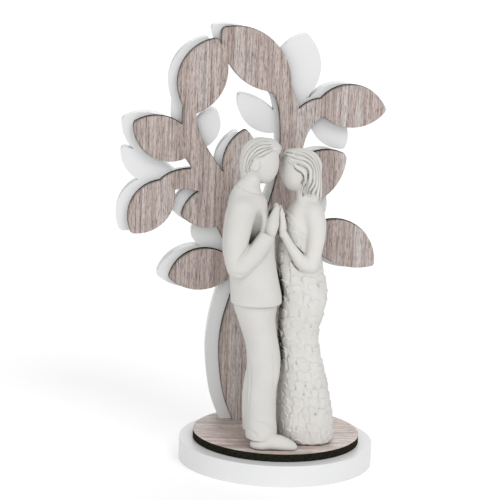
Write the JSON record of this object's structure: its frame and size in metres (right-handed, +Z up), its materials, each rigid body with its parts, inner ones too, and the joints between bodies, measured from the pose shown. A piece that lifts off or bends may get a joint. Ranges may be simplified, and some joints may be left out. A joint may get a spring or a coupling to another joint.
{
  "type": "keepsake tree with couple",
  "caption": "Wedding keepsake: a leafy tree in layered cut board on a round base, with a faceless bride and groom standing palm to palm in front.",
  "frame": {"origin": "centre of the base's underside, where it rests on a shelf", "axes": "+Z up the tree, -Y towards the viewer who sees the couple in front of the tree, +X to that viewer's right"},
  "size_m": [0.137, 0.1, 0.223],
  "materials": {
    "white_lacquer": "satin white lacquer on fibreboard",
    "wood_veneer": "matt grey-brown veneer with dark laser-cut edges",
    "bisque": "matt unglazed white",
    "zinc_steel": "zinc plated"
  },
  "bodies": {
    "root": {"base_disc": "white_lacquer", "wood_disc": "wood_veneer", "tree_back": "white_lacquer", "tree_front": "wood_veneer", "tree_screws": "zinc_steel", "groom": "bisque", "bride": "bisque"}
  },
  "joints": []
}
